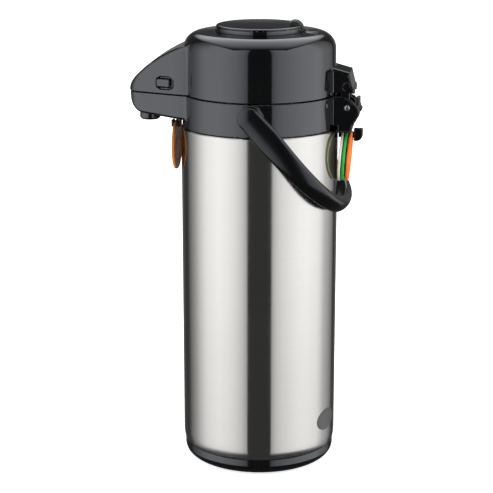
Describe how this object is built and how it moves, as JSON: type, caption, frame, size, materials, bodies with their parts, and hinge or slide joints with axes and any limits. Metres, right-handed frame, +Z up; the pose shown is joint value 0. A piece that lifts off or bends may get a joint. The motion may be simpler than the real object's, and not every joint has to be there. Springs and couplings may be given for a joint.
{
  "type": "thermal coffee airpot",
  "caption": "Insulated steel coffee airpot with a domed pump lid, push button, pouring beak, nozzle, swinging bail handle, hinged lid and hanging round flavour tags.",
  "frame": {"origin": "centre of the rubber pad's resting face, on the pot's axis", "axes": "+Z up along the pot's axis, -Y towards the pouring beak, +Y towards the lid hinge, X across the handle pivots"},
  "size_m": [0.16, 0.2155, 0.4147],
  "materials": {
    "black_plastic": "gloss",
    "black_matt": "satin",
    "foot_rubber": "matt",
    "brushed_steel": "brushed",
    "plain_steel": "satin",
    "pin_steel": "polished",
    "spring_steel": "satin",
    "badge_grey": "gloss",
    "silicone": "matt",
    "natural_plastic": "satin",
    "tag_brown": "gloss",
    "tag_white": "gloss",
    "tag_green": "gloss",
    "tag_orange": "gloss"
  },
  "bodies": {
    "pot": {"base_cup": "black_plastic", "foot_pad": "foot_rubber", "casing": "brushed_steel", "casing_bottom": "plain_steel", "vacuum_plug": "plain_steel", "liner": "plain_steel", "badge": "badge_grey", "shoulder": "black_plastic", "neck_gasket": "silicone", "stopper": "natural_plastic", "stopper_gasket": "silicone", "valve_cage": "natural_plastic", "dip_tube": "plain_steel", "pipe_seal": "silicone", "discharge_pipe": "plain_steel", "nozzle": "black_plastic", "hinge_pin": "pin_steel"},
    "tip_valve": {"tip_valve_ball": "plain_steel"},
    "lid": {"lid_shell": "black_plastic", "lid_plate": "black_plastic", "lid_screws": "plain_steel", "bellows": "silicone", "bellows_ring": "natural_plastic", "air_seal": "silicone", "check_valve": "silicone", "button_spring": "spring_steel", "latch_spring": "spring_steel"},
    "button": {"push_button": "black_plastic", "pusher_plate": "natural_plastic", "intake_valve": "silicone"},
    "lock": {"lock_slider": "black_matt"},
    "latch": {"latch_bar": "black_matt"},
    "release": {"hinge_release": "black_matt"},
    "handle": {"handle": "black_plastic", "handle_washers": "plain_steel", "handle_screws": "plain_steel"},
    "front_tag": {"tag_front": "tag_brown"},
    "white_tag": {"tag_white": "tag_white"},
    "green_tag": {"tag_green": "tag_green"},
    "orange_tag": {"tag_orange": "tag_orange"}
  },
  "joints": [
    {"name": "lid_hinge", "type": "hinge", "parent": "pot", "child": "lid", "pos_m": [0, 0.0812, 0.3384], "axis": [-1, 0, 0], "range_deg": [0, 95]},
    {"name": "button_press", "type": "slide", "parent": "lid", "child": "button", "axis": [0, 0, -1], "range_m": [0, 0.025], "stiffness_N_per_m": 600, "springref_m": -0.004, "deforming": ["bellows", "button_spring"]},
    {"name": "lock_slide", "type": "slide", "parent": "button", "child": "lock", "axis": [0, -1, 0], "range_m": [-0.004, 0]},
    {"name": "latch_slide", "type": "slide", "parent": "lid", "child": "latch", "axis": [0, 1, 0], "range_m": [0, 0.003], "stiffness_N_per_m": 800, "springref_m": -0.002, "deforming": ["latch_spring"]},
    {"name": "release_slide", "type": "slide", "parent": "pot", "child": "release", "axis": [0, 0, -1], "range_m": [0, 0.003]},
    {"name": "handle_swing", "type": "hinge", "parent": "pot", "child": "handle", "pos_m": [0, 0, 0.3369], "axis": [1, 0, 0], "range_deg": [0, 180]},
    {"name": "tip_valve", "type": "slide", "parent": "pot", "child": "tip_valve", "axis": [0, 0, 1], "range_m": [0, 0.007]},
    {"name": "front_tag_swing", "type": "hinge", "parent": "pot", "child": "front_tag", "pos_m": [0, -0.0773, 0.318], "axis": [0, 1, 0], "range_deg": [-20, 20]},
    {"name": "white_tag_swing", "type": "hinge", "parent": "pot", "child": "white_tag", "pos_m": [0, 0.0768, 0.311], "axis": [0, 1, 0], "range_deg": [-20, 20]},
    {"name": "green_tag_swing", "type": "hinge", "parent": "pot", "child": "green_tag", "pos_m": [0, 0.0804, 0.311], "axis": [0, 1, 0], "range_deg": [-20, 20]},
    {"name": "orange_tag_swing", "type": "hinge", "parent": "pot", "child": "orange_tag", "pos_m": [0, 0.0844, 0.311], "axis": [0, 1, 0], "range_deg": [-20, 20]}
  ]
}
